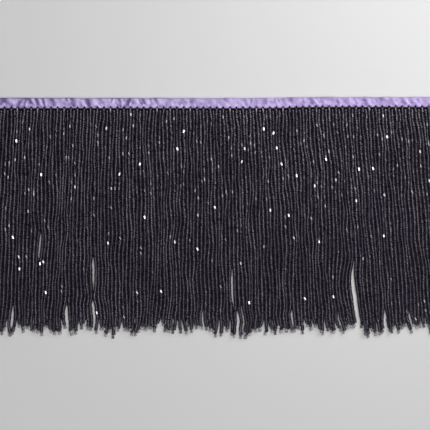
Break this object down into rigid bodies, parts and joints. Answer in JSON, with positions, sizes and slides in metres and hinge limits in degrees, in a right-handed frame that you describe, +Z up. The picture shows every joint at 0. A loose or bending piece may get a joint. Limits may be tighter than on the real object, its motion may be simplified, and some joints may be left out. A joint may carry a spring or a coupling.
{
  "type": "beaded fringe trim",
  "caption": "Cut length of beaded fringe trim: folded satin binding, chain-stitched edge, dense hanging strands of small glass beads.",
  "frame": {"origin": "middle of the binding's flat underside, half way along the cut length", "axes": "+X along the binding, -Y down the strands towards their ends, +Z up off the surface, out of the trim's face"},
  "size_m": [0.3289, 0.1637, 0.0028],
  "materials": {
    "satin": "satin weave, soft sheen",
    "beads": "opaque black glass, glossy",
    "smoke_beads": "smoke grey glass, glossy",
    "silver_beads": "cut bead with a silvered facet",
    "thread": "twisted black thread, matt"
  },
  "bodies": {
    "root": {"satin_binding": "satin", "beaded_fringe": "beads"}
  },
  "joints": []
}
